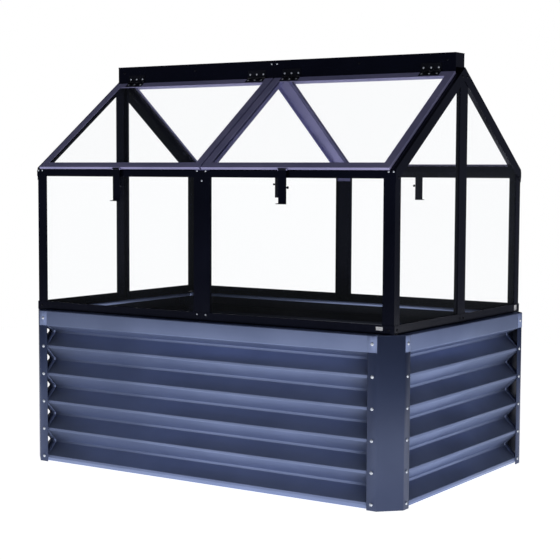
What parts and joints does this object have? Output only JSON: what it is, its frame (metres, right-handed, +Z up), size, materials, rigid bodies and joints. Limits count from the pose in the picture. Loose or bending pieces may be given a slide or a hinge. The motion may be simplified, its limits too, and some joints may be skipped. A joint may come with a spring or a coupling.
{
  "type": "cold frame",
  "caption": "Corrugated sheet-steel raised bed carrying a small glazed gabled house with four hinged roof sashes.",
  "frame": {"origin": "under the middle of the bed, on the ground plane", "axes": "+Z up; +X along the ridge to the right-hand end; -Y towards the front long side"},
  "size_m": [1.2, 0.798, 1.1388],
  "materials": {
    "painted_steel": "satin",
    "black_frame": "gloss",
    "bright_steel": "satin",
    "pane": "gloss"
  },
  "bodies": {
    "bed": {"front_panel": "painted_steel", "right_panel": "painted_steel", "back_panel": "painted_steel", "left_panel": "painted_steel", "front_left_corner_post": "painted_steel", "front_right_corner_post": "painted_steel", "back_left_corner_post": "painted_steel", "back_right_corner_post": "painted_steel"},
    "house": {"front_base_rail": "black_frame", "back_base_rail": "black_frame", "left_base_rail": "black_frame", "right_base_rail": "black_frame", "front_left_upright": "black_frame", "front_right_upright": "black_frame", "back_left_upright": "black_frame", "back_right_upright": "black_frame", "front_mid_post": "black_frame", "back_mid_post": "black_frame", "left_end_post": "black_frame", "right_end_post": "black_frame", "front_left_eave": "black_frame", "front_right_eave": "black_frame", "back_left_eave": "black_frame", "back_right_eave": "black_frame", "ridge_left": "black_frame", "ridge_right": "black_frame", "front_left_gable_rafter": "black_frame", "front_right_gable_rafter": "black_frame", "back_left_gable_rafter": "black_frame", "back_right_gable_rafter": "black_frame", "front_mid_rafter": "black_frame", "back_mid_rafter": "black_frame", "front_left_wall_pane": "pane", "front_right_wall_pane": "pane", "back_left_wall_pane": "pane", "back_right_wall_pane": "pane", "front_left_end_pane": "pane", "front_right_end_pane": "pane", "back_left_end_pane": "pane", "back_right_end_pane": "pane", "front_left_inner_hinge": "bright_steel", "front_left_outer_hinge": "bright_steel", "front_right_inner_hinge": "bright_steel", "front_right_outer_hinge": "bright_steel", "back_left_inner_hinge": "bright_steel", "back_left_outer_hinge": "bright_steel", "back_right_inner_hinge": "bright_steel", "back_right_outer_hinge": "bright_steel"},
    "front_left_sash": {"front_left_sash_frame": "black_frame", "front_left_roof_pane": "pane"},
    "front_left_stay_bar": {"front_left_stay": "black_frame"},
    "front_right_sash": {"front_right_sash_frame": "black_frame", "front_right_roof_pane": "pane"},
    "front_right_stay_bar": {"front_right_stay": "black_frame"},
    "back_left_sash": {"back_left_sash_frame": "black_frame", "back_left_roof_pane": "pane"},
    "back_left_stay_bar": {"back_left_stay": "black_frame"},
    "back_right_sash": {"back_right_sash_frame": "black_frame", "back_right_roof_pane": "pane"},
    "back_right_stay_bar": {"back_right_stay": "black_frame"}
  },
  "joints": [
    {"name": "house_lift", "type": "slide", "parent": "bed", "child": "house", "axis": [0, 0, 1], "range_m": [0, 0.6]},
    {"name": "front_left_sash_hinge", "type": "hinge", "parent": "house", "child": "front_left_sash", "pos_m": [-0.284, -0.0281, 1.09348], "axis": [-1, 0, 0], "range_deg": [0, 115]},
    {"name": "front_left_stay_pivot", "type": "hinge", "parent": "front_left_sash", "child": "front_left_stay_bar", "pos_m": [-0.282, -0.37814, 0.83317], "axis": [-1, 0, 0], "range_deg": [0, 100]},
    {"name": "front_right_sash_hinge", "type": "hinge", "parent": "house", "child": "front_right_sash", "pos_m": [0.284, -0.0281, 1.09348], "axis": [-1, 0, 0], "range_deg": [0, 115]},
    {"name": "front_right_stay_pivot", "type": "hinge", "parent": "front_right_sash", "child": "front_right_stay_bar", "pos_m": [0.259, -0.37814, 0.83317], "axis": [-1, 0, 0], "range_deg": [0, 100]},
    {"name": "back_left_sash_hinge", "type": "hinge", "parent": "house", "child": "back_left_sash", "pos_m": [-0.284, 0.0281, 1.09348], "axis": [1, 0, 0], "range_deg": [0, 115]},
    {"name": "back_left_stay_pivot", "type": "hinge", "parent": "back_left_sash", "child": "back_left_stay_bar", "pos_m": [-0.25, 0.37814, 0.83317], "axis": [1, 0, 0], "range_deg": [0, 100]},
    {"name": "back_right_sash_hinge", "type": "hinge", "parent": "house", "child": "back_right_sash", "pos_m": [0.284, 0.0281, 1.09348], "axis": [1, 0, 0], "range_deg": [0, 115]},
    {"name": "back_right_stay_pivot", "type": "hinge", "parent": "back_right_sash", "child": "back_right_stay_bar", "pos_m": [0.25, 0.37814, 0.83317], "axis": [1, 0, 0], "range_deg": [0, 100]}
  ]
}
